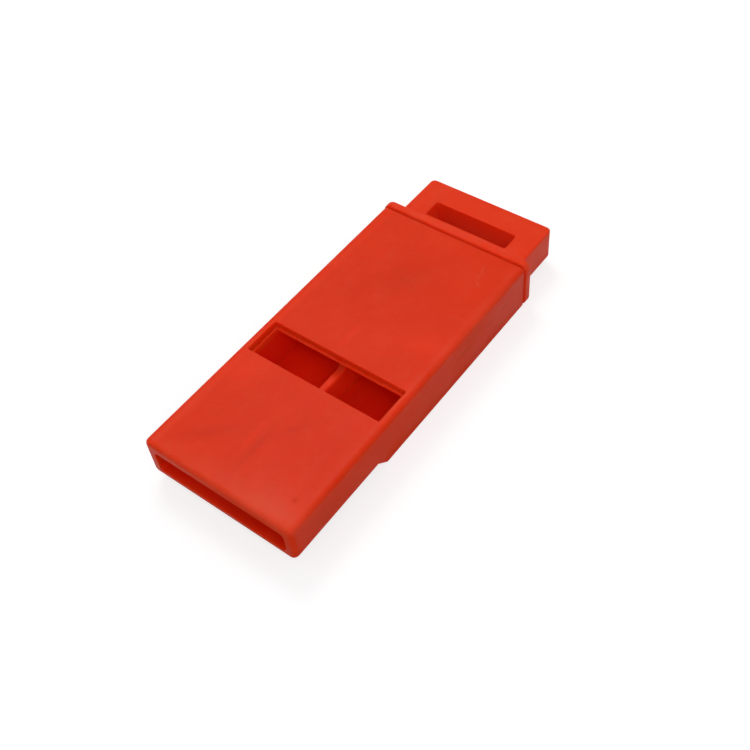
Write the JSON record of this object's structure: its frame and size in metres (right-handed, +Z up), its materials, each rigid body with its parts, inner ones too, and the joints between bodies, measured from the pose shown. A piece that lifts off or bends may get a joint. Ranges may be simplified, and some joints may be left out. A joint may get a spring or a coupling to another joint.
{
  "type": "emergency whistle",
  "caption": "Flat pealess emergency whistle: moulded sleeve with mouth slot, stepped underside and top window, closed by a push-in insert with lip, divider, collar and lanyard tab.",
  "frame": {"origin": "middle of the whistle's length and width, on the surface that it lies on", "axes": "+Y along the whistle from the mouth to the lanyard tab, +Z up through the face with the window, +X to the right seen from the mouth"},
  "size_m": [0.0226, 0.0556, 0.0074],
  "materials": {
    "sleeve_plastic": "satin moulded orange-red",
    "insert_plastic": "satin moulded orange-red, a shade brighter"
  },
  "bodies": {
    "sleeve": {"sleeve": "sleeve_plastic"},
    "insert": {"insert": "insert_plastic"}
  },
  "joints": [
    {"name": "insert_draw", "type": "slide", "parent": "sleeve", "child": "insert", "axis": [0, 1, 0], "range_m": [0, 0.042]}
  ]
}
